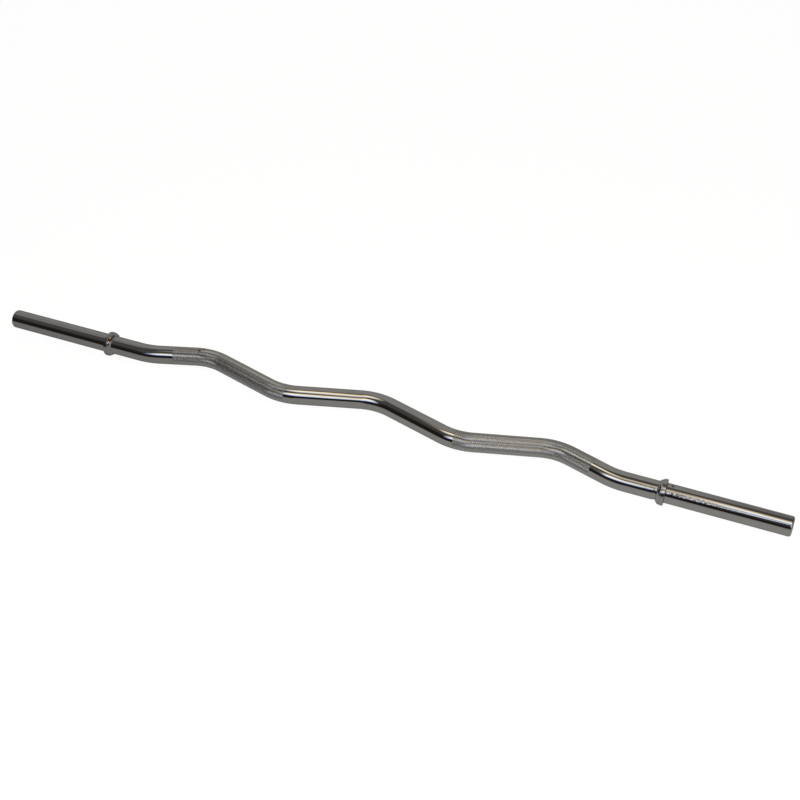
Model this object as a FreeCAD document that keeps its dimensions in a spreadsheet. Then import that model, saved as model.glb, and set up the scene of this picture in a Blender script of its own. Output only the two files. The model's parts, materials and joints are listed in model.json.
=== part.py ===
import FreeCAD, Part
import math
import os

import Sketcher
from FreeCAD import Vector

# EZ curl bar: a solid chromed rod bent in one plane, with a stop ring welded on near each end.
# In the sketches X runs along the sleeves and Y from the sleeve axis towards the bend peaks.

doc = FreeCAD.newDocument("EzCurlBar")

# Driving dimensions in millimetres; places along X are steps outward from the middle of the bar
SIZES = {
    "sleeve_length": 168.5,
    "sleeve_diameter": 28,
    "shank_relief": 0.2,
    "end_round": 3,
    "centre_to_valley": 135.5,
    "valley_to_peak": 136,
    "peak_to_axis": 89.5,
    "axis_to_collar": 70.5,
    "centre_peak_rise": 31.5,
    "valley_drop": 10,
    "outer_peak_rise": 30,
    "centre_bend_radius": 82,
    "valley_bend_radius": 82,
    "peak_bend_radius": 75,
    "axis_bend_radius": 100,
    "collar_wall": 4.45,
    "collar_width": 5,
    "collar_edge_round": 0.6,
    "collar_clearance": 0.05,
    "weld_leg": 6,
    "weld_face_radius": 10,
}

# Worked out in the sheet: radii, corner places, slopes, the bends' apexes, and how the bar lies on a floor
DERIVED = {
    "sleeve_radius": "sleeve_diameter / 2",
    "shank_radius": "sleeve_radius - shank_relief",
    "collar_bore_radius": "sleeve_radius + collar_clearance",
    "collar_radius": "collar_bore_radius + collar_wall",
    "weld_top_radius": "collar_radius - collar_edge_round",
    "outer_peak_x": "centre_to_valley + valley_to_peak",
    "axis_bend_x": "outer_peak_x + peak_to_axis",
    "collar_face_x": "axis_bend_x + axis_to_collar",
    "collar_back_x": "collar_face_x - collar_width",
    "weld_toe_x": "collar_back_x - weld_leg",
    "centre_slope": "atan((centre_peak_rise + valley_drop) / centre_to_valley)",
    "grip_slope": "atan((outer_peak_rise + valley_drop) / valley_to_peak)",
    "outer_slope": "atan(outer_peak_rise / peak_to_axis)",
    "centre_apex": "centre_peak_rise - centre_bend_radius * (1 / cos(centre_slope) - 1)",
    "outer_apex": "outer_peak_rise - peak_bend_radius"
                  " * (cos((outer_slope - grip_slope) / 2) / cos((outer_slope + grip_slope) / 2) - 1)",
    "valley_apex": "valley_drop - valley_bend_radius"
                   " * (cos((grip_slope - centre_slope) / 2) / cos((grip_slope + centre_slope) / 2) - 1)",
    "rest_rise": "max(centre_apex; outer_apex)",
    "rest_tilt": "asin((collar_radius - shank_radius) / rest_rise)",
    "back_reach": "rest_rise * cos(rest_tilt) + shank_radius",
    "front_reach": "max(collar_radius; valley_apex * cos(rest_tilt) + shank_radius)",
    "axis_depth": "(front_reach - back_reach) / 2",
}

sheet = doc.addObject("Spreadsheet::Sheet", "Sizes")
cells = {alias: str(value) for alias, value in SIZES.items()}
cells.update({alias: "=" + formula for alias, formula in DERIVED.items()})
for row, (alias, content) in enumerate(cells.items(), start=1):
    sheet.set(f"A{row}", alias)
    sheet.setAlias(f"B{row}", alias)
    sheet.set(f"B{row}", content)
doc.recompute()

# What a sketch constraint names: the points of a curve, and the sketch's own axes and origin
START, END, CENTRE = range(1, 4)
X_AXIS, Y_AXIS = -START, -END
ORIGIN = (X_AXIS, START)
NORMAL = Vector(0, 0, 1)


def size(alias):
    """A value in the sheet, as a plain number."""
    value = sheet.get(alias)
    return float(getattr(value, "Value", value))


def new_body(label, half_turn=0):
    """A body laid down as the bar lies: on both rings and its highest bend, centred over its footprint.

    What is drawn on the right goes to the left by half a turn, in degrees, about the bar's own Y axis.
    """
    body = doc.addObject("PartDesign::Body", label)
    body.Label = label
    place = "vector(0; Sizes.axis_depth; Sizes.collar_radius)"
    lie = f"rotation(vector(1; 0; 0); -Sizes.rest_tilt) * rotation(vector(0; 1; 0); {half_turn})"
    body.setExpression("Placement", f"placement({place}; {lie})")
    return body


def origin_feature(body, role):
    return next(feature for feature in body.Origin.OriginFeatures if feature.Role == role)


def new_sketch(body, name, plane):
    sketch = body.newObject("Sketcher::SketchObject", name)
    sketch.AttachmentSupport = (origin_feature(body, plane), [""])
    sketch.MapMode = "FlatFace"
    return sketch


def tie(sketch, kind, *where):
    """A constraint without a size, such as two tangent ends or a point on a line."""
    sketch.addConstraint(Sketcher.Constraint(kind, *where))


def dimension(sketch, kind, alias, *where):
    """A dimension bound to the sheet's cell of that name."""
    index = sketch.addConstraint(Sketcher.Constraint(kind, *where, size(alias)))
    name = f"{alias}_{kind}"
    sketch.renameConstraint(index, name)
    sketch.setExpression(f"Constraints.{name}", f"Sizes.{alias}")


def place_point(sketch, along, radius, *point):
    """Hold a section's point at a distance along the bar and a radius from the sleeve axis."""
    dimension(sketch, "DistanceX", along, *ORIGIN, *point)
    dimension(sketch, "DistanceY", radius, *ORIGIN, *point)


def arc_between(centre, radius, first, last):
    """The arc that runs anticlockwise from one point to another."""
    angles = [math.atan2(end.y - centre.y, end.x - centre.x) for end in (first, last)]
    return Part.ArcOfCircle(Part.Circle(centre, NORMAL, radius), *angles)


def round_corner(before, corner, after, radius):
    """Where a bend starts and ends, the centre of its arc, and whether it turns left."""
    into = (corner - before).normalize()
    out = (after - corner).normalize()
    turn = math.atan2(into.x * out.y - into.y * out.x, into.dot(out))
    setback = radius * math.tan(abs(turn) / 2)
    first = corner - into * setback
    last = corner + out * setback
    turns_left = turn > 0
    inward = Vector(-into.y, into.x, 0) if turns_left else Vector(into.y, -into.x, 0)
    return first, last, first + inward * radius, turns_left


def draw_centreline(sketch):
    """Half of the shank's centreline, from the middle of the centre bend out to the collar's face."""
    bends = ["centre_bend_radius", "valley_bend_radius", "peak_bend_radius", "axis_bend_radius"]
    corners = [
        Vector(0, size("centre_peak_rise"), 0),
        Vector(size("centre_to_valley"), -size("valley_drop"), 0),
        Vector(size("outer_peak_x"), size("outer_peak_rise"), 0),
        Vector(size("axis_bend_x"), 0, 0),
    ]
    other_valley = Vector(-corners[1].x, corners[1].y, 0)
    path_end = Vector(size("collar_face_x"), 0, 0)
    knots = [other_valley, *corners, path_end]

    arcs, arrivals, departures, points, lines = [], [], [], [], []
    for number, bend in enumerate(bends):
        first, last, centre, turns_left = round_corner(*knots[number:number + 3], size(bend))
        if number == 0:
            first = Vector(0, size("centre_apex"), 0)
        else:
            lines.append(sketch.addGeometry(Part.LineSegment(straight_start, first)))
        ends = (first, last) if turns_left else (last, first)
        arc = sketch.addGeometry(arc_between(centre, size(bend), *ends))
        arcs.append(arc)
        arrivals.append((arc, START if turns_left else END))
        departures.append((arc, END if turns_left else START))
        points.append((sketch.addGeometry(Part.Point(corners[number]), True), START))
        straight_start = last
    lines.append(sketch.addGeometry(Part.LineSegment(straight_start, path_end)))

    # Straights run into bends without a kink, and each corner point lies where two straights would cross
    for number, line in enumerate(lines):
        tie(sketch, "Tangent", *departures[number], line, START)
        tie(sketch, "PointOnObject", *points[number], line)
    for number, line in enumerate(lines[:-1], start=1):
        tie(sketch, "Tangent", line, END, *arrivals[number])
        tie(sketch, "PointOnObject", *points[number], line)

    # The centre bend starts on the mirror plane, and the last straight lies on the sleeve axis
    for point in [(arcs[0], CENTRE), arrivals[0], points[0]]:
        tie(sketch, "PointOnObject", *point, Y_AXIS)
    for point in [(lines[-1], START), (lines[-1], END)]:
        tie(sketch, "PointOnObject", *point, X_AXIS)

    for bend, arc in zip(bends, arcs):
        dimension(sketch, "Radius", bend, arc)
    centre_point, valley_point, peak_point, axis_point = points
    dimension(sketch, "DistanceY", "centre_peak_rise", *ORIGIN, *centre_point)
    dimension(sketch, "DistanceX", "centre_to_valley", *ORIGIN, *valley_point)
    dimension(sketch, "DistanceY", "valley_drop", *valley_point, *ORIGIN)
    dimension(sketch, "DistanceX", "outer_peak_x", *ORIGIN, *peak_point)
    dimension(sketch, "DistanceY", "outer_peak_rise", *ORIGIN, *peak_point)
    dimension(sketch, "DistanceX", "axis_bend_x", *ORIGIN, *axis_point)
    dimension(sketch, "DistanceX", "collar_face_x", *ORIGIN, lines[-1], END)


def make_bar():
    """The rod: a shank swept along the bends and a plain sleeve beyond the collar, then both mirrored."""
    body = new_body("bent_bar")
    centreline = new_sketch(body, "Centreline", "XY_Plane")
    draw_centreline(centreline)

    shank_section = new_sketch(body, "ShankSection", "YZ_Plane")
    apex = Vector(size("centre_apex"), 0, 0)
    circle = shank_section.addGeometry(Part.Circle(apex, NORMAL, size("shank_radius")))
    tie(shank_section, "PointOnObject", circle, CENTRE, X_AXIS)
    dimension(shank_section, "DistanceX", "centre_apex", *ORIGIN, circle, CENTRE)
    dimension(shank_section, "Radius", "shank_radius", circle)

    shank = body.newObject("PartDesign::AdditivePipe", "Shank")
    shank.Profile = shank_section
    shank.Spine = (centreline, [])

    sleeve_section = new_sketch(body, "SleeveSection", "YZ_Plane")
    sleeve_section.setExpression("AttachmentOffset.Base.z", "Sizes.collar_face_x")
    circle = sleeve_section.addGeometry(Part.Circle(Vector(), NORMAL, size("sleeve_radius")))
    tie(sleeve_section, "Coincident", circle, CENTRE, *ORIGIN)
    dimension(sleeve_section, "Radius", "sleeve_radius", circle)

    sleeve = body.newObject("PartDesign::Pad", "Sleeve")
    sleeve.Profile = sleeve_section
    sleeve.setExpression("Length", "Sizes.sleeve_length")
    doc.recompute()

    edges = sleeve.Shape.Edges
    outermost = max(range(len(edges)), key=lambda number: edges[number].CenterOfMass.x)
    end_round = body.newObject("PartDesign::Fillet", "EndRound")
    end_round.Base = (sleeve, [f"Edge{outermost + 1}"])
    end_round.setExpression("Radius", "Sizes.end_round")

    both_halves = body.newObject("PartDesign::Mirrored", "BothHalves")
    both_halves.TransformMode = "Whole shape"
    both_halves.MirrorPlane = (origin_feature(body, "YZ_Plane"), [""])
    body.Tip = both_halves
    return body


def revolve_about_bar(body, sketch):
    """Turn a section once round the sleeve axis."""
    turned = body.newObject("PartDesign::Revolution", "Turned")
    turned.Profile = sketch
    turned.ReferenceAxis = (origin_feature(body, "X_Axis"), [""])
    turned.Angle = 360
    doc.recompute()
    return turned


def make_collar(label, half_turn):
    """A flat ring that passes over the sleeve, with its rim edges rounded."""
    body = new_body(label, half_turn)
    sketch = new_sketch(body, "RingSection", "XY_Plane")
    back, face = size("collar_back_x"), size("collar_face_x")
    bore, rim = size("collar_bore_radius"), size("collar_radius")
    corners = [Vector(back, bore, 0), Vector(face, bore, 0), Vector(face, rim, 0), Vector(back, rim, 0)]
    next_corners = corners[1:] + corners[:1]
    lines = [sketch.addGeometry(Part.LineSegment(*pair)) for pair in zip(corners, next_corners)]
    for line, next_line in zip(lines, lines[1:] + lines[:1]):
        tie(sketch, "Coincident", line, END, next_line, START)
    for line, direction in zip(lines, ["Horizontal", "Vertical"] * 2):
        tie(sketch, direction, line)
    place_point(sketch, "collar_back_x", "collar_bore_radius", lines[0], START)
    place_point(sketch, "collar_face_x", "collar_radius", lines[2], START)

    ring = revolve_about_bar(body, sketch)
    rim_edges = []
    for number, edge in enumerate(ring.Shape.Edges, start=1):
        if isinstance(edge.Curve, Part.Circle) and math.isclose(edge.Curve.Radius, rim):
            rim_edges.append(f"Edge{number}")
    rim_rounds = body.newObject("PartDesign::Fillet", "RimRounds")
    rim_rounds.Base = (ring, rim_edges)
    rim_rounds.setExpression("Radius", "Sizes.collar_edge_round")
    return body


def make_weld(label, half_turn):
    """The crowned fillet bead in the corner between the shank and the ring's inboard face."""
    body = new_body(label, half_turn)
    sketch = new_sketch(body, "BeadSection", "XY_Plane")
    toe = Vector(size("weld_toe_x"), size("shank_radius"), 0)
    root = Vector(size("collar_back_x"), size("shank_radius"), 0)
    top = Vector(size("collar_back_x"), size("weld_top_radius"), 0)
    foot = sketch.addGeometry(Part.LineSegment(toe, root))
    wall = sketch.addGeometry(Part.LineSegment(root, top))

    # The crown bulges away from the root, so its centre lies on the root's side of the chord
    chord = top - toe
    radius = size("weld_face_radius")
    depth = math.sqrt(radius ** 2 - (chord.Length / 2) ** 2)
    centre = (toe + top) / 2 + Vector(chord.y, -chord.x, 0).normalize() * depth
    crown = sketch.addGeometry(arc_between(centre, radius, top, toe))

    tie(sketch, "Coincident", foot, END, wall, START)
    tie(sketch, "Coincident", wall, END, crown, START)
    tie(sketch, "Coincident", crown, END, foot, START)
    tie(sketch, "Horizontal", foot)
    tie(sketch, "Vertical", wall)
    place_point(sketch, "weld_toe_x", "shank_radius", foot, START)
    place_point(sketch, "collar_back_x", "weld_top_radius", wall, END)
    dimension(sketch, "Radius", "weld_face_radius", crown)
    revolve_about_bar(body, sketch)
    return body


subparts = [make_bar()]
for side, half_turn in [("left", 180), ("right", 0)]:
    subparts.append(make_collar(f"{side}_collar", half_turn))
    subparts.append(make_weld(f"{side}_collar_weld", half_turn))
doc.recompute()

# Nothing is written unless every object solved and every sub-part is one sound solid
for item in doc.Objects:
    if {"Invalid", "Error"} & set(item.State):
        raise RuntimeError(f"{item.Name} failed: {item.getStatusString()}")
for body in subparts:
    if body.Shape.isNull() or not body.Shape.isValid() or len(body.Shape.Solids) != 1:
        raise RuntimeError(f"{body.Label} is not one valid solid")

os.makedirs("parts", exist_ok=True)
for body in subparts:
    body.Shape.exportStep(f"parts/{body.Label}.step")
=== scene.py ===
import json
import math
import bmesh
import bpy
from mathutils import Matrix, Vector


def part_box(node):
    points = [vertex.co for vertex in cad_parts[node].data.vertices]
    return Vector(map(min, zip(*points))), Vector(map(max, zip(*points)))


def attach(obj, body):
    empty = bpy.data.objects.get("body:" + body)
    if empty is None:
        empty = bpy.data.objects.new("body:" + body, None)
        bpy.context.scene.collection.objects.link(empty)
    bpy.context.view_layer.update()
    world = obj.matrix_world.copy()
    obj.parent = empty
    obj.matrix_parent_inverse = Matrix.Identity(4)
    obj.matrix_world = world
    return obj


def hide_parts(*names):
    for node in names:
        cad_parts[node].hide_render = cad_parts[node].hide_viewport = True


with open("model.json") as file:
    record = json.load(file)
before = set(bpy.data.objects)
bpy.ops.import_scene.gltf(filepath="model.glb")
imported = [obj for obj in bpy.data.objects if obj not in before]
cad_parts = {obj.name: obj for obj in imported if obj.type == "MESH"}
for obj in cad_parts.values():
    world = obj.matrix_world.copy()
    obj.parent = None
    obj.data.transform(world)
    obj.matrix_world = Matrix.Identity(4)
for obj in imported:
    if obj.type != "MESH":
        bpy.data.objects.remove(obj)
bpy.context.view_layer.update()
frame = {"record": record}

# Camera
# It stands in front of the right half of the bar, at chest height, and looks down on it at 47 degrees.
CAMERA_PLACE = (0.51134, -1.08593, 1.32169)
CAMERA_TURN = (42.912, 1.839, 21.281)
SENSOR_WIDTH = 36.0
FOCAL_LENGTH = 55.093

camera_lens = bpy.data.cameras.new("camera")
camera_lens.sensor_width = SENSOR_WIDTH
camera_lens.lens = FOCAL_LENGTH
camera = bpy.data.objects.new("camera", camera_lens)
camera.location = CAMERA_PLACE
camera.rotation_euler = [math.radians(angle) for angle in CAMERA_TURN]
bpy.context.collection.objects.link(camera)
bpy.context.scene.camera = camera
bpy.context.scene.view_settings.view_transform = "Standard"

# Studio
# A floor that shows white and is mirrored in the chrome as grey paper, with paper walls round it. In the
# chrome the paper's grey is a painted glow, brighter towards one side of each sheet. Four soft light panels
# hang over them: one above the bar, one above its right end and two in front of it. The room beyond is dark,
# up to a grey ceiling.
WHITE = (1.0, 1.0, 1.0, 1.0)
BLACK = (0.0, 0.0, 0.0, 1.0)
SHADOW_GREY = (0.2, 0.2, 0.2, 1.0)
PAINTED_PAPER_GREY = (0.305, 0.297, 0.282, 1.0)
ROOM_DARK = (0.020, 0.015, 0.012, 1.0)
CEILING_GREY = (0.080, 0.078, 0.074, 1.0)
PAPER_GLOW = 0.95

# The walls stand at these distances, and their outlines are places along them and heights.
BACK_WALL = 2.6
LEFT_WALL = -2.6
RIGHT_WALL = 2.4
FRONT_WALL = -2.6
FLOOR_OUTLINE = [(-8.0, -8.0), (8.0, -8.0), (8.0, 8.0), (-8.0, 8.0)]
BACK_OUTLINE = [(-2.6, 0.0), (1.6, 0.0), (1.6, 2.4), (0.72, 2.6), (0.35, 4.3), (-2.6, 6.2)]
LEFT_OUTLINE = [(0.35, 0.0), (2.6, 0.0), (2.6, 6.2), (0.35, 3.6)]
RIGHT_OUTLINE = [(-2.6, 0.0), (2.6, 0.0), (2.6, 1.2), (-2.6, 1.2)]
FRONT_OUTLINE = [(-3.0, 0.0), (1.6, 0.0), (1.6, 1.25), (-0.1, 0.20), (-3.0, 0.20)]


def feed(tree, node, values):
    """Sets inputs of a node to values, or links them to outputs of other nodes."""
    for name, value in values.items():
        if isinstance(value, bpy.types.NodeSocket):
            tree.links.new(value, node.inputs[name])
        else:
            node.inputs[name].default_value = value


def add_node(tree, kind, values=None, **settings):
    """A new shader node with its settings and inputs."""
    node = tree.nodes.new("ShaderNode" + kind)
    for name, setting in settings.items():
        setattr(node, name, setting)
    feed(tree, node, values or {})
    return node


def change_between(tree, value, start, stop, first=0.0, last=1.0, smooth=False):
    """A number that goes from the first to the last while the value goes from its start to its stop."""
    ends = {"Value": value, "From Min": start, "From Max": stop, "To Min": first, "To Max": last}
    kind = "SMOOTHSTEP" if smooth else "LINEAR"
    return add_node(tree, "MapRange", ends, interpolation_type=kind).outputs[0]


def work_out(tree, operation, *values):
    """The result of one operation on its numbers."""
    return add_node(tree, "Math", dict(enumerate(values)), operation=operation).outputs[0]


def mix_colours(tree, share, first, second):
    """The first colour with a share of the second; the node has its colours on inputs 6 and 7."""
    return add_node(tree, "Mix", {0: share, 6: first, 7: second}, data_type="RGBA").outputs[2]


def empty_tree(owner):
    """The nodes of a new material or world, with none in it yet."""
    owner.use_nodes = True
    owner.node_tree.nodes.clear()
    return owner.node_tree


def make_paper(name, left, left_share, right, right_share):
    """White to the camera; in the chrome a painted glow of paper grey that changes between two places."""
    material = bpy.data.materials.new(name)
    tree = empty_tree(material)
    ray = add_node(tree, "LightPath")
    seen = add_node(tree, "Emission", {"Color": WHITE, "Strength": PAPER_GLOW})
    lit = add_node(tree, "BsdfDiffuse", {"Color": SHADOW_GREY})
    white = add_node(tree, "AddShader", {0: seen.outputs[0], 1: lit.outputs[0]})
    place = add_node(tree, "TexCoord")
    parts = add_node(tree, "SeparateXYZ", {"Vector": place.outputs["Object"]})
    share = change_between(tree, parts.outputs["X"], left, right, left_share, right_share)
    # Painted light: in the chrome the paper glows grey, brighter towards one side of the sheet.
    grey = add_node(tree, "Emission", {"Color": PAINTED_PAPER_GREY, "Strength": share})
    choice = {0: ray.outputs["Is Camera Ray"], 1: grey.outputs[0], 2: white.outputs[0]}
    both = add_node(tree, "MixShader", choice)
    add_node(tree, "OutputMaterial", {"Surface": both.outputs[0]})
    return material


def add_sheet(name, corners, material, shown=False):
    """A flat sheet between its corners; the camera sees it only if it is shown."""
    sheet = bmesh.new()
    sheet.faces.new([sheet.verts.new(corner) for corner in corners])
    mesh = bpy.data.meshes.new(name)
    sheet.to_mesh(mesh)
    sheet.free()
    mesh.materials.append(material)
    stage_piece = bpy.data.objects.new(name, mesh)
    stage_piece.visible_camera = shown
    bpy.context.collection.objects.link(stage_piece)


floor_paper = make_paper("floor_paper", left=-0.8, left_share=0.70, right=0.2, right_share=1.14)
back_paper = make_paper("back_paper", left=0.30, left_share=1.06, right=0.64, right_share=0.68)
side_paper = make_paper("side_paper", left=-0.8, left_share=0.84, right=0.2, right_share=0.96)
add_sheet("floor", [(x, y, 0.0) for x, y in FLOOR_OUTLINE], floor_paper, shown=True)
add_sheet("back_wall", [(x, BACK_WALL, z) for x, z in BACK_OUTLINE], back_paper)
add_sheet("left_wall", [(LEFT_WALL, y, z) for y, z in LEFT_OUTLINE], side_paper)
add_sheet("right_wall", [(RIGHT_WALL, y, z) for y, z in RIGHT_OUTLINE], side_paper)
add_sheet("front_wall", [(x, FRONT_WALL, z) for x, z in FRONT_OUTLINE], side_paper)

# The light across a panel, at these shares of the way from its near edge to its far one. Both kinds are warm
# towards the far edge. The cool one is bluish towards the near edge, and the plain one is the more golden.
GLOW_STOPS = (0.00, 0.19, 0.36, 0.48, 0.68, 0.81, 0.87, 0.95)
COOL_GLOW = [(0.01, 0.01, 0.02), (0.11, 0.18, 0.42), (0.52, 0.69, 1.00), (0.91, 0.98, 1.00),
             (1.00, 0.96, 0.84), (0.92, 0.72, 0.45), (0.55, 0.37, 0.20), (0.13, 0.08, 0.05)]
PLAIN_GLOW = [(0.01, 0.01, 0.01), (0.19, 0.18, 0.17), (0.70, 0.70, 0.68), (1.00, 0.98, 0.92),
              (1.00, 0.92, 0.66), (0.95, 0.68, 0.30), (0.58, 0.35, 0.13), (0.13, 0.07, 0.03)]

# A panel without drift or taper has them where no panel reaches. A taper ends at a least width.
NO_DRIFT = (8.0, 9.0, 0.0, 1.0)
NO_TAPER = (8.0, 9.0)
LEAST_WIDTH = 0.01


def make_panel_glow(name, glow, left, fade, near, far, strength, slant, drift, taper):
    """The glow of a soft panel, fading in from a left edge that may slant. Between the two places of its
    drift it moves nearer by the third value and dims to a share, the fourth. Between the two places of its
    taper its near edge runs to its far one."""
    material = bpy.data.materials.new(name)
    tree = empty_tree(material)
    drift_start, drift_stop, shift, dim_share = drift
    taper_start, taper_stop = taper
    place = add_node(tree, "TexCoord")
    parts = add_node(tree, "SeparateXYZ", {"Vector": place.outputs["Object"]})
    along, across = parts.outputs["X"], parts.outputs["Y"]
    nearer = change_between(tree, along, drift_start, drift_stop, 0.0, shift)
    drifted = work_out(tree, "ADD", across, nearer)
    edge = change_between(tree, along, taper_start, taper_stop, near, far - LEAST_WIDTH)
    share = change_between(tree, drifted, edge, far)
    ramp = add_node(tree, "ValToRGB", {"Fac": share})
    ramp.color_ramp.elements[1].color = BLACK
    for stop, colour in zip(GLOW_STOPS, glow):
        ramp.color_ramp.elements.new(stop).color = (*colour, 1.0)
    leaning = work_out(tree, "MULTIPLY_ADD", across, -slant, along)
    start = left - slant * near
    rising = change_between(tree, leaning, start, start + fade, 0.0, strength, smooth=True)
    dimmed = change_between(tree, along, drift_start, drift_stop, 1.0, dim_share)
    level = work_out(tree, "MULTIPLY", rising, dimmed)
    light = add_node(tree, "Emission", {"Color": ramp.outputs[0], "Strength": level})
    clear = add_node(tree, "BsdfTransparent")
    veil = add_node(tree, "AddShader", {0: clear.outputs[0], 1: light.outputs[0]})
    add_node(tree, "OutputMaterial", {"Surface": veil.outputs[0]})
    return material


def add_light_panel(name, glow, height, left, right, fade, near, far, strength, slant=0.0, drift=NO_DRIFT,
                    taper=NO_TAPER):
    """A level panel at its height, deep enough in front for its drift."""
    material = make_panel_glow(name, glow, left, fade, near, far, strength, slant, drift, taper)
    front = near - drift[2]
    corners = [(left, front, height), (right, front, height), (right, far, height), (left, far, height)]
    add_sheet(name, corners, material)


add_light_panel("ceiling_panel", PLAIN_GLOW, 1.2, left=-0.62, right=1.5, fade=0.38, near=-0.27, far=0.40,
                strength=1.5, drift=(-0.22, 0.22, 0.32, 0.45))
add_light_panel("front_panel", COOL_GLOW, 1.1, left=-1.20, right=0.76, fade=0.46, near=-1.71, far=-0.38,
                strength=1.6, slant=0.62, drift=(-0.05, 0.25, 0.12, 0.80), taper=(0.24, 0.69))
add_light_panel("end_panel", COOL_GLOW, 0.7, left=0.35, right=0.80, fade=0.20, near=-0.46, far=0.20,
                strength=0.75)
add_light_panel("right_panel", COOL_GLOW, 1.1, left=0.82, right=1.5, fade=0.15, near=-1.71, far=-0.345,
                strength=1.6)

# The room turns from dark to the ceiling's grey between these rises of a direction.
CEILING_START = 0.58
CEILING_FULL = 0.76


def light_the_room():
    world = bpy.data.worlds.new("room")
    tree = empty_tree(world)
    ray = add_node(tree, "LightPath")
    direction = add_node(tree, "TexCoord")
    parts = add_node(tree, "SeparateXYZ", {"Vector": direction.outputs["Generated"]})
    height = change_between(tree, parts.outputs["Z"], CEILING_START, CEILING_FULL)
    room = add_node(tree, "Background", {"Color": mix_colours(tree, height, ROOM_DARK, CEILING_GREY)})
    white = add_node(tree, "Background", {"Color": WHITE})
    choice = {0: ray.outputs["Is Camera Ray"], 1: room.outputs[0], 2: white.outputs[0]}
    both = add_node(tree, "MixShader", choice)
    add_node(tree, "OutputWorld", {"Surface": both.outputs[0]})
    bpy.context.scene.world = world


light_the_room()

# Plain rod
# One solid round bar of steel, ground true, bent cold in one plane into the zigzag and then chromed all over.
# Its plain stretches are the two sleeves with their rounded ends, the outer bends and the middle.
sleeve_mount = next(mount for mount in frame["record"]["mounts"] if mount["name"] == "right_sleeve")
SLEEVE_RADIUS = sleeve_mount["dims"]["r_mm"] / 1000.0
SHANK_RELIEF = 0.0002
SHANK_RADIUS = SLEEVE_RADIUS - SHANK_RELIEF
AXIS_PLACE = Vector(sleeve_mount["pos_m"])
BAR_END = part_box("bent_bar")[1].x
RING_INNER_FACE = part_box("right_collar")[0].x
RING_OUTER_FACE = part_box("right_collar")[1].x
END_ROUND = 0.003
END_ROUND_STEPS = 8
END_LOOP_GAP = 0.0003
ROD_SIDES = 128
LOOP_SPACING = 0.0025
SAME_PLACE = 1e-6

# The bends from the middle out, as corners of the line through the rod in its own plane, with their radii.
BEND_CORNERS = [Vector(corner) for corner in ((0.0, 0.0315), (0.1355, -0.010), (0.2715, 0.030), (0.361, 0.0))]
BEND_RADII = [0.082, 0.082, 0.075, 0.100]

# The two knurled stretches, as lengths along the rod from its middle.
LEFT_KNURL = (-0.3368, -0.1345)
RIGHT_KNURL = (0.1383, 0.3404)

# A shallow groove that the weld has melted into the rod beside its edge, on the near side of the right end.
# The rod has extra loops there, three to the groove's width and six on each side.
WELD_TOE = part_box("right_collar_weld")[0].x
UNDERCUT_DEPTH = 0.0009
UNDERCUT_WIDTH = 0.0020
UNDERCUT_ANGLE = -2.24
UNDERCUT_CUTS = 3
UNDERCUT_LOOPS = 6


def divide_into_runs():
    """The right half of the rod's line from its middle out: the length of each run and how far it turns."""
    corners = BEND_CORNERS + [Vector((BAR_END, 0.0))]
    headings = [math.atan2(b.y - a.y, b.x - a.x) for a, b in zip(corners, corners[1:])]
    turns = [headings[0]] + [after - before for before, after in zip(headings, headings[1:])]
    tangents = [radius * math.tan(abs(turn) / 2) for radius, turn in zip(BEND_RADII, turns)] + [0.0]
    tangents[0] = BEND_RADII[0] * math.tan(abs(turns[0]))
    runs = []
    for place, turn in enumerate(turns):
        runs.append((BEND_RADII[place] * abs(turn), turn))
        straight = (corners[place + 1] - corners[place]).length - tangents[place] - tangents[place + 1]
        runs.append((straight, 0.0))
    return runs


ROD_RUNS = divide_into_runs()
HALF_LENGTH = sum(length for length, turn in ROD_RUNS)
MIDDLE_RISE = BEND_CORNERS[0].y - BEND_RADII[0] * (1 / math.cos(ROD_RUNS[0][1]) - 1)
REST_TILT = math.asin((AXIS_PLACE.z - SHANK_RADIUS) / MIDDLE_RISE)


def along_rod(x):
    """The length along the rod at a place on the straight axis beyond the bends."""
    return HALF_LENGTH - (BAR_END - x)


def bend_point(point):
    """Carries a point of the straight rod onto the bent one as it lies on the floor."""
    left = abs(point.x)
    x, y, heading = 0.0, MIDDLE_RISE, 0.0
    for length, turn in ROD_RUNS:
        step = min(left, length)
        if turn:
            radius = length / turn
            swung = heading + step / radius
            x += radius * (math.sin(swung) - math.sin(heading))
            y += radius * (math.cos(heading) - math.cos(swung))
            heading = swung
        else:
            x += step * math.cos(heading)
            y += step * math.sin(heading)
        left -= step
        if left <= 0.0:
            break
    x -= math.sin(heading) * point.y
    y += math.cos(heading) * point.y
    lean, rise = math.cos(REST_TILT), math.sin(REST_TILT)
    return Vector((math.copysign(x, point.x), y * lean + point.z * rise + AXIS_PLACE.y,
                   -y * rise + point.z * lean + AXIS_PLACE.z))


def add_round_stock(bm, start, stop, radius, sides, loops):
    """A solid cylinder along the straight rod, cut into loops that can bend."""
    place = Matrix.Translation(((start + stop) / 2, 0.0, 0.0)) @ Matrix.Rotation(math.pi / 2, 4, "Y")
    stock = bmesh.ops.create_cone(bm, cap_ends=True, segments=sides, radius1=radius, radius2=radius,
                                  depth=abs(stop - start), matrix=place)
    lengthwise = [edge for edge in bm.edges if edge.verts[0] in stock["verts"]
                  and abs(edge.verts[0].co.x - edge.verts[1].co.x) > SAME_PLACE]
    if loops > 1:
        bmesh.ops.subdivide_edges(bm, edges=lengthwise, cuts=loops - 1)


def cut_across(bm, place):
    """Cuts one more loop right round the straight rod at a place along it."""
    bmesh.ops.bisect_plane(bm, geom=bm.verts[:] + bm.edges[:] + bm.faces[:], plane_no=(1.0, 0.0, 0.0),
                           plane_co=(place, 0.0, 0.0))


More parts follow.
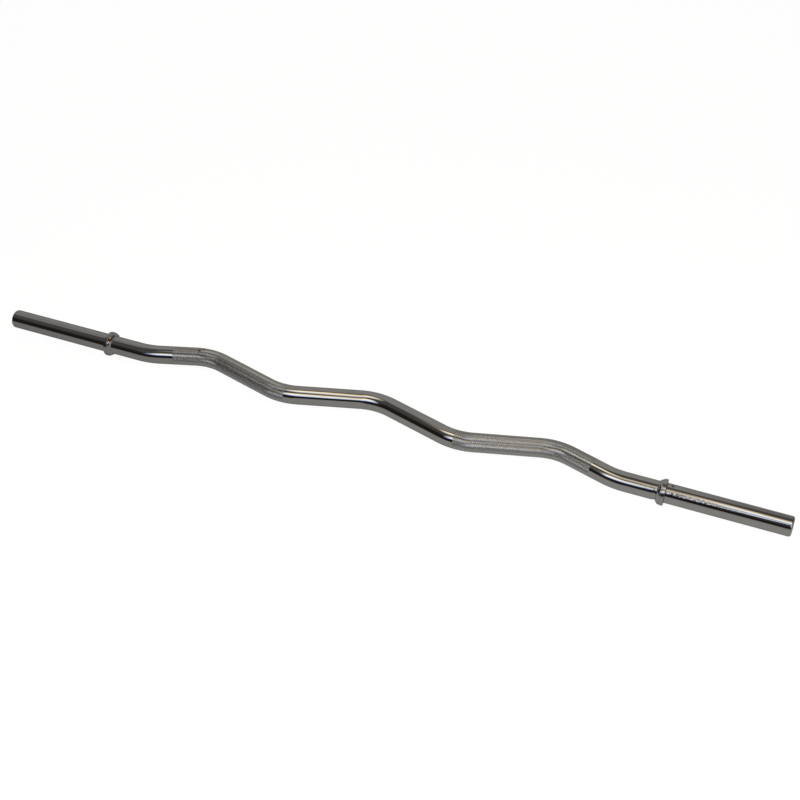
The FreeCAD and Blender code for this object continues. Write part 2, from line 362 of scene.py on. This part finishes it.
def add_piece(name, bm, material, node):
    """Bends the straight piece onto the rod, and puts it in the scene in place of its solid."""
    unbent = bm.verts.layers.float_vector.new("unbent")
    for vertex in bm.verts:
        vertex[unbent] = vertex.co
        vertex.co = bend_point(vertex.co)
    mesh = bpy.data.meshes.new(name)
    bm.to_mesh(mesh)
    bm.free()
    mesh.materials.append(material)
    piece = bpy.data.objects.new(name, mesh)
    bpy.context.collection.objects.link(piece)
    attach(piece, "root")
    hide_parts(node)
    return piece


def make_plain_rod():
    bm = bmesh.new()
    ring_middle = along_rod((RING_INNER_FACE + RING_OUTER_FACE) / 2)
    starts = [-ring_middle, LEFT_KNURL[1], RIGHT_KNURL[1]]
    stops = [LEFT_KNURL[0], RIGHT_KNURL[0], ring_middle]
    for start, stop in zip(starts, stops):
        add_round_stock(bm, start, stop, SHANK_RADIUS, ROD_SIDES, int((stop - start) / LOOP_SPACING))
    for side in (-1, 1):
        add_round_stock(bm, side * ring_middle, side * HALF_LENGTH, SLEEVE_RADIUS, ROD_SIDES, 1)
    rims = [edge for edge in bm.edges
            if all(abs(abs(v.co.x) - HALF_LENGTH) < SAME_PLACE for v in edge.verts)]
    bmesh.ops.bevel(bm, geom=rims, offset=END_ROUND, affect="EDGES", segments=END_ROUND_STEPS, profile=0.5,
                    material=-1)
    for side in (-1, 1):
        cut_across(bm, side * (HALF_LENGTH - END_ROUND - END_LOOP_GAP))
    groove = along_rod(WELD_TOE) - UNDERCUT_WIDTH
    for step in range(-UNDERCUT_LOOPS, UNDERCUT_LOOPS + 1):
        cut_across(bm, groove + step * UNDERCUT_WIDTH / UNDERCUT_CUTS)
    for vertex in bm.verts:
        aside = (vertex.co.x - groove) / UNDERCUT_WIDTH
        turned = math.remainder(math.atan2(vertex.co.z, vertex.co.y) - UNDERCUT_ANGLE, math.tau)
        depth = UNDERCUT_DEPTH * math.exp(-aside ** 2 - turned ** 2)
        vertex.co.yz = vertex.co.yz * (1 - depth / SHANK_RADIUS)
    for face in bm.faces:
        face.smooth = len(face.verts) == 4
    for edge in bm.edges:
        edge.smooth = all(face.smooth for face in edge.link_faces)
    return bm


def start_group(name, inputs, outputs):
    """A shader node group with named sockets; returns it, what it is given and the node for its results."""
    group = bpy.data.node_groups.new(name, "ShaderNodeTree")
    for label, kind in inputs:
        group.interface.new_socket(label, in_out="INPUT", socket_type="NodeSocket" + kind)
    for label, kind in outputs:
        group.interface.new_socket(label, in_out="OUTPUT", socket_type="NodeSocket" + kind)
    return group, group.nodes.new("NodeGroupInput").outputs, group.nodes.new("NodeGroupOutput")


def make_fine_lines():
    """Grinding, turning or sliding marks: noise drawn out in one direction by the stretch. They start where
    the noise passes the cover, and the edge is how much further it goes to their full height."""
    inputs = [("Vector", "Vector"), ("Stretch", "Vector"), ("Cover", "Float"), ("Edge", "Float")]
    group, given, result = start_group("fine_lines", inputs, [("Height", "Float")])
    drawn = add_node(group, "VectorMath", {0: given["Vector"], 1: given["Stretch"]}, operation="MULTIPLY")
    noise = {"Vector": drawn.outputs[0], "Scale": 1.0, "Detail": 3.0, "Roughness": 0.6}
    grain = add_node(group, "TexNoise", noise).outputs[0]
    full = work_out(group, "ADD", given["Cover"], given["Edge"])
    feed(group, result, {"Height": change_between(group, grain, given["Cover"], full)})
    return group


fine_lines = make_fine_lines()

# How far a spot of rust reaches, as shares of its radius: between two levels of noise, and at its soft edge.
RAGGED_NOISE = (0.25, 0.75)
RAGGED_REACH = (0.55, 1.5)
SOFT_EDGE = (0.7, 1.15)


def make_rust_spot():
    """One freckle of rust that has come through the chrome."""
    inputs = [("Vector", "Vector"), ("Centre", "Vector"), ("Radius", "Float")]
    group, given, result = start_group("rust_spot", inputs, [("Mask", "Float")])
    noise = {"Vector": given["Vector"], "Scale": 1400.0, "Detail": 3.0}
    ragged = add_node(group, "TexNoise", noise).outputs[0]
    away = add_node(group, "VectorMath", {0: given["Vector"], 1: given["Centre"]}, operation="DISTANCE")
    uneven = change_between(group, ragged, *RAGGED_NOISE, *RAGGED_REACH)
    reach = work_out(group, "MULTIPLY", given["Radius"], uneven)
    share = work_out(group, "DIVIDE", away.outputs["Value"], reach)
    feed(group, result, {"Mask": change_between(group, share, *SOFT_EDGE, 1.0, 0.0, smooth=True)})
    return group


rust_spot = make_rust_spot()

# The levels of noise between which the film goes from smoothest to roughest, and from bright to hazed.
ROUGH_NOISE = (0.35, 0.75)
TONE_NOISE = (0.3, 0.7)


def make_chrome_film():
    """Uneven polish and handling film on bright chrome: its roughness and a slight change of tone."""
    inputs = [("Vector", "Vector"), ("Smoothest", "Float"), ("Roughest", "Float")]
    outputs = [("Roughness", "Float"), ("Tone", "Float")]
    group, given, result = start_group("chrome_film", inputs, outputs)
    noise = {"Vector": given["Vector"], "Scale": 60.0, "Detail": 5.0, "Roughness": 0.65}
    cloud = add_node(group, "TexNoise", noise).outputs[0]
    rough = change_between(group, cloud, *ROUGH_NOISE, given["Smoothest"], given["Roughest"])
    feed(group, result, {"Roughness": rough, "Tone": change_between(group, cloud, *TONE_NOISE)})
    return group


chrome_film = make_chrome_film()

CHROME_BRIGHT = (0.60, 0.60, 0.605, 1.0)
CHROME_HAZED = (0.555, 0.55, 0.545, 1.0)
CHROME_EDGE = (0.70, 0.70, 0.71, 1.0)
RUST_BROWN = (0.12, 0.045, 0.020, 1.0)
RUST_ROUGHNESS = 0.85


def start_chrome(name, polish):
    """A chrome material with a film between two roughnesses; returns it with its nodes, its shader, the place
    on the straight rod and what the film gives."""
    material = bpy.data.materials.new(name)
    material.use_nodes = True
    tree = material.node_tree
    shader = tree.nodes["Principled BSDF"]
    shader.inputs["Metallic"].default_value = 1.0
    shader.inputs["Specular Tint"].default_value = CHROME_EDGE
    unbent = add_node(tree, "Attribute", attribute_name="unbent").outputs["Vector"]
    smoothest, roughest = polish
    film = add_node(tree, "Group", {"Vector": unbent, "Smoothest": smoothest, "Roughest": roughest},
                    node_tree=chrome_film)
    return material, tree, shader, unbent, film.outputs


def add_lines(tree, unbent, marks):
    """The height of fine lines of one kind."""
    return add_node(tree, "Group", {"Vector": unbent, **marks}, node_tree=fine_lines).outputs["Height"]


def add_spot(tree, unbent, centre, radius):
    """The mask of one spot of rust."""
    spot = {"Vector": unbent, "Centre": centre, "Radius": radius}
    return add_node(tree, "Group", spot, node_tree=rust_spot).outputs["Mask"]


def rust_over(tree, mask, plate, rough):
    """The colour, the share of bare metal and the roughness of plating that has rusted where the mask is."""
    colour = mix_colours(tree, mask, plate, RUST_BROWN)
    metal = work_out(tree, "SUBTRACT", 1.0, mask)
    roughness = add_node(tree, "Mix", {0: mask, 2: rough, 3: RUST_ROUGHNESS}).outputs[0]
    return colour, metal, roughness


ROD_POLISH = (0.025, 0.065)
SLEEVE_RUST_PLACE = (0.4520, 0.0002, 0.0140)
SLEEVE_RUST_RADIUS = 0.0017
GRINDING = {"Stretch": (60.0, 1500.0, 1500.0), "Cover": 0.42, "Edge": 0.10}
GRINDING_BUMP = {"Strength": 0.05, "Distance": 0.00001}

# Painted shade in the corner between the rod and each ring's outer face, and how far from the face it ends.
CORNER_SHADE = (0.10, 0.075, 0.055, 1.0)
CORNER_SHADE_SHARE = 0.75
CORNER_SHADE_REACH = (0.0003, 0.0013)

# Plates have slid over the right sleeve: where along the rod the wear starts and ends, the line along it that
# they touched most, how wide that line is, and the share of wear beyond the end and beside the line.
WEAR_START = (0.400, 0.450)
WEAR_END = (0.500, 0.560)
WEAR_BEYOND = 0.03
WORN_LINE = (0.0, -0.0098, 0.0100)
WORN_REACH = (0.0012, 0.0031)
WEAR_BESIDE = 0.02
WEAR_HAZE = 0.03
SLIDING = {"Stretch": (360.0, 420.0, 420.0), "Cover": 0.40, "Edge": 0.25}
SLIDING_BUMP = {"Strength": 1.0, "Distance": 0.00014}
SCORING = {"Stretch": (420.0, 700.0, 700.0), "Cover": 0.52, "Edge": 0.06}
SCORE_BROWN = (0.10, 0.08, 0.06, 1.0)


def make_rod_chrome():
    material, tree, shader, unbent, film = start_chrome("rod_chrome", ROD_POLISH)
    place = add_node(tree, "SeparateXYZ", {"Vector": unbent}).outputs

    started = change_between(tree, place["X"], *WEAR_START, smooth=True)
    ended = change_between(tree, place["X"], *WEAR_END, 1.0, WEAR_BEYOND, smooth=True)
    lengthwise = work_out(tree, "MULTIPLY", started, ended)
    across = add_node(tree, "CombineXYZ", {"Y": place["Y"], "Z": place["Z"]})
    off_line = add_node(tree, "VectorMath", {0: across.outputs[0], 1: WORN_LINE}, operation="DISTANCE")
    on_line = change_between(tree, off_line.outputs["Value"], *WORN_REACH, 1.0, WEAR_BESIDE, smooth=True)
    worn = work_out(tree, "MULTIPLY", lengthwise, on_line)

    plate = mix_colours(tree, film["Tone"], CHROME_BRIGHT, CHROME_HAZED)
    haze = work_out(tree, "MULTIPLY", worn, WEAR_HAZE)
    rough = work_out(tree, "ADD", film["Roughness"], haze)
    spot = add_spot(tree, unbent, SLEEVE_RUST_PLACE, SLEEVE_RUST_RADIUS)
    rusted, metal, roughness = rust_over(tree, spot, plate, rough)

    # Painted shade: the colour darkens in the corner beside the outer face of each ring.
    outward = work_out(tree, "ABSOLUTE", place["X"])
    past_ring = work_out(tree, "SUBTRACT", outward, along_rod(RING_OUTER_FACE))
    from_ring = work_out(tree, "ABSOLUTE", past_ring)
    darkening = change_between(tree, from_ring, *CORNER_SHADE_REACH, CORNER_SHADE_SHARE, 0.0)
    corner_shaded = mix_colours(tree, darkening, rusted, CORNER_SHADE)
    scored = work_out(tree, "MULTIPLY", add_lines(tree, unbent, SCORING), worn)
    colour = mix_colours(tree, scored, corner_shaded, SCORE_BROWN)

    knocks = work_out(tree, "MULTIPLY", add_lines(tree, unbent, SLIDING), worn)
    ground = add_node(tree, "Bump", {"Height": add_lines(tree, unbent, GRINDING), **GRINDING_BUMP})
    battered = add_node(tree, "Bump", {"Height": knocks, "Normal": ground.outputs[0], **SLIDING_BUMP})
    feed(tree, shader, {"Base Color": colour, "Metallic": metal, "Roughness": roughness,
                        "Normal": battered.outputs[0]})
    return material


add_piece("plain_rod", make_plain_rod(), make_rod_chrome(), "bent_bar")

# Knurled grips
# Two stretches of the same rod where a diamond knurl was rolled in before bending and plating.
# The pressed grooves leave flat-topped pyramids that stand a little proud of the plain rod.
TEETH_ROUND = 40
TOOTH_LENGTH = 0.00275
GROOVE_RADIUS = 0.01371
FLANK_WIDTH = 0.00040
TOOTH_HEIGHT = 0.000195
OUTWARD_SHARE = 0.01


def make_knurl(start, stop):
    """Diamonds between crossing lines on the round stock, each raised to a tooth; grooves are marked by 1."""
    bm = bmesh.new()
    add_round_stock(bm, start, stop, GROOVE_RADIUS, TEETH_ROUND, int((stop - start) / TOOTH_LENGTH))
    ends = [face for face in bm.faces if len(face.verts) > 4]
    cells = [face for face in bm.faces if len(face.verts) == 4]
    grid = [edge for edge in bm.edges if all(face in cells for face in edge.link_faces)]
    bmesh.ops.poke(bm, faces=cells)
    bmesh.ops.dissolve_edges(bm, edges=grid, use_verts=False)
    groove = bm.verts.layers.float.new("groove")
    for vertex in bm.verts:
        out = Vector((0.0, vertex.co.y, vertex.co.z)).normalized() * GROOVE_RADIUS
        vertex.co.y, vertex.co.z = out.y, out.z
        vertex[groove] = 1.0
    diamonds = [face for face in bm.faces if face not in ends]
    bmesh.ops.inset_individual(bm, faces=diamonds, thickness=FLANK_WIDTH, depth=TOOTH_HEIGHT,
                               use_even_offset=True)
    crests = {vertex for face in diamonds for vertex in face.verts}
    for vertex in crests:
        vertex[groove] = 0.0
    return bm


def round_the_crests(piece):
    """Shades the tops of the teeth as parts of the round rod that the grooves were pressed into."""
    mesh = piece.data
    straight = mesh.attributes["unbent"].data
    groove = mesh.attributes["groove"].data
    normals = []
    for polygon in mesh.polygons:
        crest = all(groove[place].value < 0.5 for place in polygon.vertices)
        for place in polygon.vertices:
            if crest:
                low = Vector(straight[place].vector)
                high = low + Vector((0.0, low.y, low.z)) * OUTWARD_SHARE
                normals.append((bend_point(high) - bend_point(low)).normalized())
            else:
                normals.append(polygon.normal.copy())
    mesh.shade_smooth()
    mesh.normals_split_custom_set(normals)


KNURL_POLISH = (0.14, 0.20)
KNURL_CLEAN = (0.68, 0.685, 0.69, 1.0)
GROOVE_GRIME = (0.54, 0.54, 0.53, 1.0)
GRIME_FILL = (0.75, 1.0)
GRIME_DULLNESS = 0.08

# Three spots of rust on the left grip, as places on the straight rod and radii.
GRIP_RUST = [((-0.2966, -0.0022, 0.0137), 0.0021), ((-0.2914, 0.0014, 0.0138), 0.0016),
             ((-0.2646, -0.0108, 0.0088), 0.0011)]


def make_knurl_chrome():
    material, tree, shader, unbent, film = start_chrome("knurl_chrome", KNURL_POLISH)
    depth = add_node(tree, "Attribute", attribute_name="groove").outputs["Fac"]
    packed = change_between(tree, film["Tone"], 0.0, 1.0, *GRIME_FILL)
    darkening = work_out(tree, "MULTIPLY", depth, packed)
    plate = mix_colours(tree, darkening, KNURL_CLEAN, GROOVE_GRIME)
    dull = work_out(tree, "MULTIPLY", darkening, GRIME_DULLNESS)
    rough = work_out(tree, "ADD", film["Roughness"], dull)
    first, second, third = [add_spot(tree, unbent, centre, radius) for centre, radius in GRIP_RUST]
    spots = work_out(tree, "MAXIMUM", work_out(tree, "MAXIMUM", first, second), third)
    colour, metal, roughness = rust_over(tree, spots, plate, rough)
    feed(tree, shader, {"Base Color": colour, "Metallic": metal, "Roughness": roughness})
    return material


knurl_chrome = make_knurl_chrome()
left_knurl = add_piece("left_knurl", make_knurl(*LEFT_KNURL), knurl_chrome, "bent_bar")
right_knurl = add_piece("right_knurl", make_knurl(*RIGHT_KNURL), knurl_chrome, "bent_bar")
round_the_crests(left_knurl)
round_the_crests(right_knurl)

# Stop rings
# A flat ring on each side, turned from steel bar with its edges broken, pushed over the rod and welded on its
# inboard side. Its plain outboard face is what the first plate rests against.
RING_BORE = 0.01402
RING_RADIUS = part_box("right_collar")[1].z - AXIS_PLACE.z
RING_EDGE_ROUND = 0.0005
RING_EDGE_STEPS = 4
RING_SIDES = 144
MERGE_REACH = 1e-7


def turn_section(section, steps):
    """A closed section, as places along the straight rod and radii, turned once round it."""
    bm = bmesh.new()
    corners = [bm.verts.new((place, radius, 0.0)) for place, radius in section]
    outline = [bm.edges.new(pair) for pair in zip(corners, corners[1:] + corners[:1])]
    bmesh.ops.spin(bm, geom=corners + outline, axis=(1.0, 0.0, 0.0), cent=(0.0, 0.0, 0.0), angle=math.tau,
                   steps=steps, use_merge=True)
    bmesh.ops.remove_doubles(bm, verts=bm.verts, dist=MERGE_REACH)
    bmesh.ops.recalc_face_normals(bm, faces=bm.faces)
    return bm


def make_ring(side):
    inner, outer = side * along_rod(RING_INNER_FACE), side * along_rod(RING_OUTER_FACE)
    bm = turn_section([(inner, RING_BORE), (inner, RING_RADIUS), (outer, RING_RADIUS), (outer, RING_BORE)],
                      RING_SIDES)
    rims = [edge for edge in bm.edges if abs(edge.verts[0].co.x - edge.verts[1].co.x) < SAME_PLACE
            and all(abs(v.co.yz.length - RING_RADIUS) < SAME_PLACE for v in edge.verts)]
    bmesh.ops.bevel(bm, geom=rims, offset=RING_EDGE_ROUND, affect="EDGES", segments=RING_EDGE_STEPS,
                    profile=0.5, material=-1)
    for face in bm.faces:
        face.smooth = True
    return bm


RING_POLISH = (0.06, 0.16)
TURNING = {"Stretch": (3200.0, 70.0, 70.0), "Cover": 0.40, "Edge": 0.10}
TURNING_BUMP = {"Strength": 0.12, "Distance": 0.00003}


def make_ring_chrome():
    material, tree, shader, unbent, film = start_chrome("ring_chrome", RING_POLISH)
    plate = mix_colours(tree, film["Tone"], CHROME_BRIGHT, CHROME_HAZED)
    turned = add_node(tree, "Bump", {"Height": add_lines(tree, unbent, TURNING), **TURNING_BUMP})
    feed(tree, shader, {"Base Color": plate, "Roughness": film["Roughness"], "Normal": turned.outputs[0]})
    return material


ring_chrome = make_ring_chrome()
left_ring = add_piece("left_ring", make_ring(-1), ring_chrome, "left_collar")
right_ring = add_piece("right_ring", make_ring(1), ring_chrome, "right_collar")
for ring in (left_ring, right_ring):
    ring.modifiers.new("flat_faces", "WEIGHTED_NORMAL")

# Weld beads
# One fillet bead of weld metal round the inboard side of each ring. It was run by hand, so its surface is a
# row of ripples with a lump where the run starts and stops, and it was plated with the rest.
WELD_TOP = 0.0179
WELD_CROWN = 0.010
WELD_SINK = 0.0001
WELD_FACE_STEPS = 9
WELD_STEPS = 240
RIPPLES = 46
RIPPLE_HEIGHT = 0.00016
RIPPLE_CURVE = 3.0

# The uneven fill: the heights of a slow and a quick wave and how often they go round, the lump at the stop
# and the angle it takes up, and how much fuller one side is. It all fades to the bead's edges by the power,
# and the face against the ring keeps its shape.
SLOW_WAVE = 0.00022
SLOW_ROUNDS = 3.0
QUICK_WAVE = 0.00014
QUICK_ROUNDS = 7.0
QUICK_PHASE = 2.0
STOP_LUMP = 0.0006
STOP_LUMP_ANGLE = 0.13
FULLER_BY = 0.00055
EDGE_POWER = 0.7
RING_SIDE_SHARE = 0.995


def make_weld(side, stop_angle, full_angle):
    """The bead on one side; its run stops at the first angle, and it is fullest towards the second."""
    toe, root = along_rod(WELD_TOE), along_rod(RING_INNER_FACE)
    low, high = Vector((toe, SHANK_RADIUS - WELD_SINK)), Vector((root, WELD_TOP))
    chord = high - low
    bulge = WELD_CROWN - math.sqrt(WELD_CROWN ** 2 - (chord.length / 2) ** 2)
    outward = Vector((-chord.y, chord.x)).normalized()
    section = [Vector((root, SHANK_RADIUS - WELD_SINK)), low]
    for step in range(1, WELD_FACE_STEPS):
        share = step / WELD_FACE_STEPS
        section.append(low + chord * share + outward * bulge * 4 * share * (1 - share))
    section.append(high)
    bm = turn_section([(side * point.x, point.y) for point in section], WELD_STEPS)
    for vertex in bm.verts:
        share = (abs(vertex.co.x) - toe) / (root - toe)
        radius = vertex.co.yz.length
        if radius < SHANK_RADIUS or share > RING_SIDE_SHARE:
            continue
        angle = math.atan2(vertex.co.z, vertex.co.y)
        lag = RIPPLE_CURVE * (share - 0.5) ** 2
        ripple = abs(math.sin(RIPPLES / 2 * angle + lag)) * RIPPLE_HEIGHT
        slow = SLOW_WAVE * math.sin(SLOW_ROUNDS * angle + stop_angle)
        wander = slow + QUICK_WAVE * math.sin(QUICK_ROUNDS * angle + QUICK_PHASE * side)
        off = (angle - stop_angle + math.pi) % math.tau - math.pi
        lump = STOP_LUMP * math.exp(-(off / STOP_LUMP_ANGLE) ** 2)
        fuller = FULLER_BY * math.cos(angle - full_angle)
        fade = math.sin(math.pi * min(1.0, max(0.0, share))) ** EDGE_POWER
        swell = (ripple + wander + lump + fuller) * fade
        vertex.co.yz = vertex.co.yz * (1 + swell / radius)
    for face in bm.faces:
        face.smooth = True
    return bm


WELD_POLISH = (0.08, 0.22)
WELD_LUMPS = {"Scale": 700.0, "Detail": 3.0, "Roughness": 0.6}
WELD_BUMP = {"Strength": 0.5, "Distance": 0.00025}

# A brown stain that the heat of welding left under the plating, high on the near side of the left bead.
STAIN_PLACE = (-along_rod(0.6 * RING_INNER_FACE + 0.4 * WELD_TOE), -0.0091, 0.0136)
STAIN_RADIUS = 0.0028
STAIN_BROWN = (0.13, 0.060, 0.025, 1.0)


def make_weld_chrome():
    material, tree, shader, unbent, film = start_chrome("weld_chrome", WELD_POLISH)
    plate = mix_colours(tree, film["Tone"], CHROME_BRIGHT, CHROME_HAZED)
    stain = add_spot(tree, unbent, STAIN_PLACE, STAIN_RADIUS)
    colour = mix_colours(tree, stain, plate, STAIN_BROWN)
    lumps = add_node(tree, "TexNoise", {"Vector": unbent, **WELD_LUMPS})
    skin = add_node(tree, "Bump", {"Height": lumps.outputs[0], **WELD_BUMP})
    feed(tree, shader, {"Base Color": colour, "Roughness": film["Roughness"], "Normal": skin.outputs[0]})
    return material


weld_chrome = make_weld_chrome()
left_bead = make_weld(-1, stop_angle=1.35, full_angle=0.73)
right_bead = make_weld(1, stop_angle=1.9, full_angle=3.87)
add_piece("left_weld", left_bead, weld_chrome, "left_collar_weld")
add_piece("right_weld", right_bead, weld_chrome, "right_collar_weld")
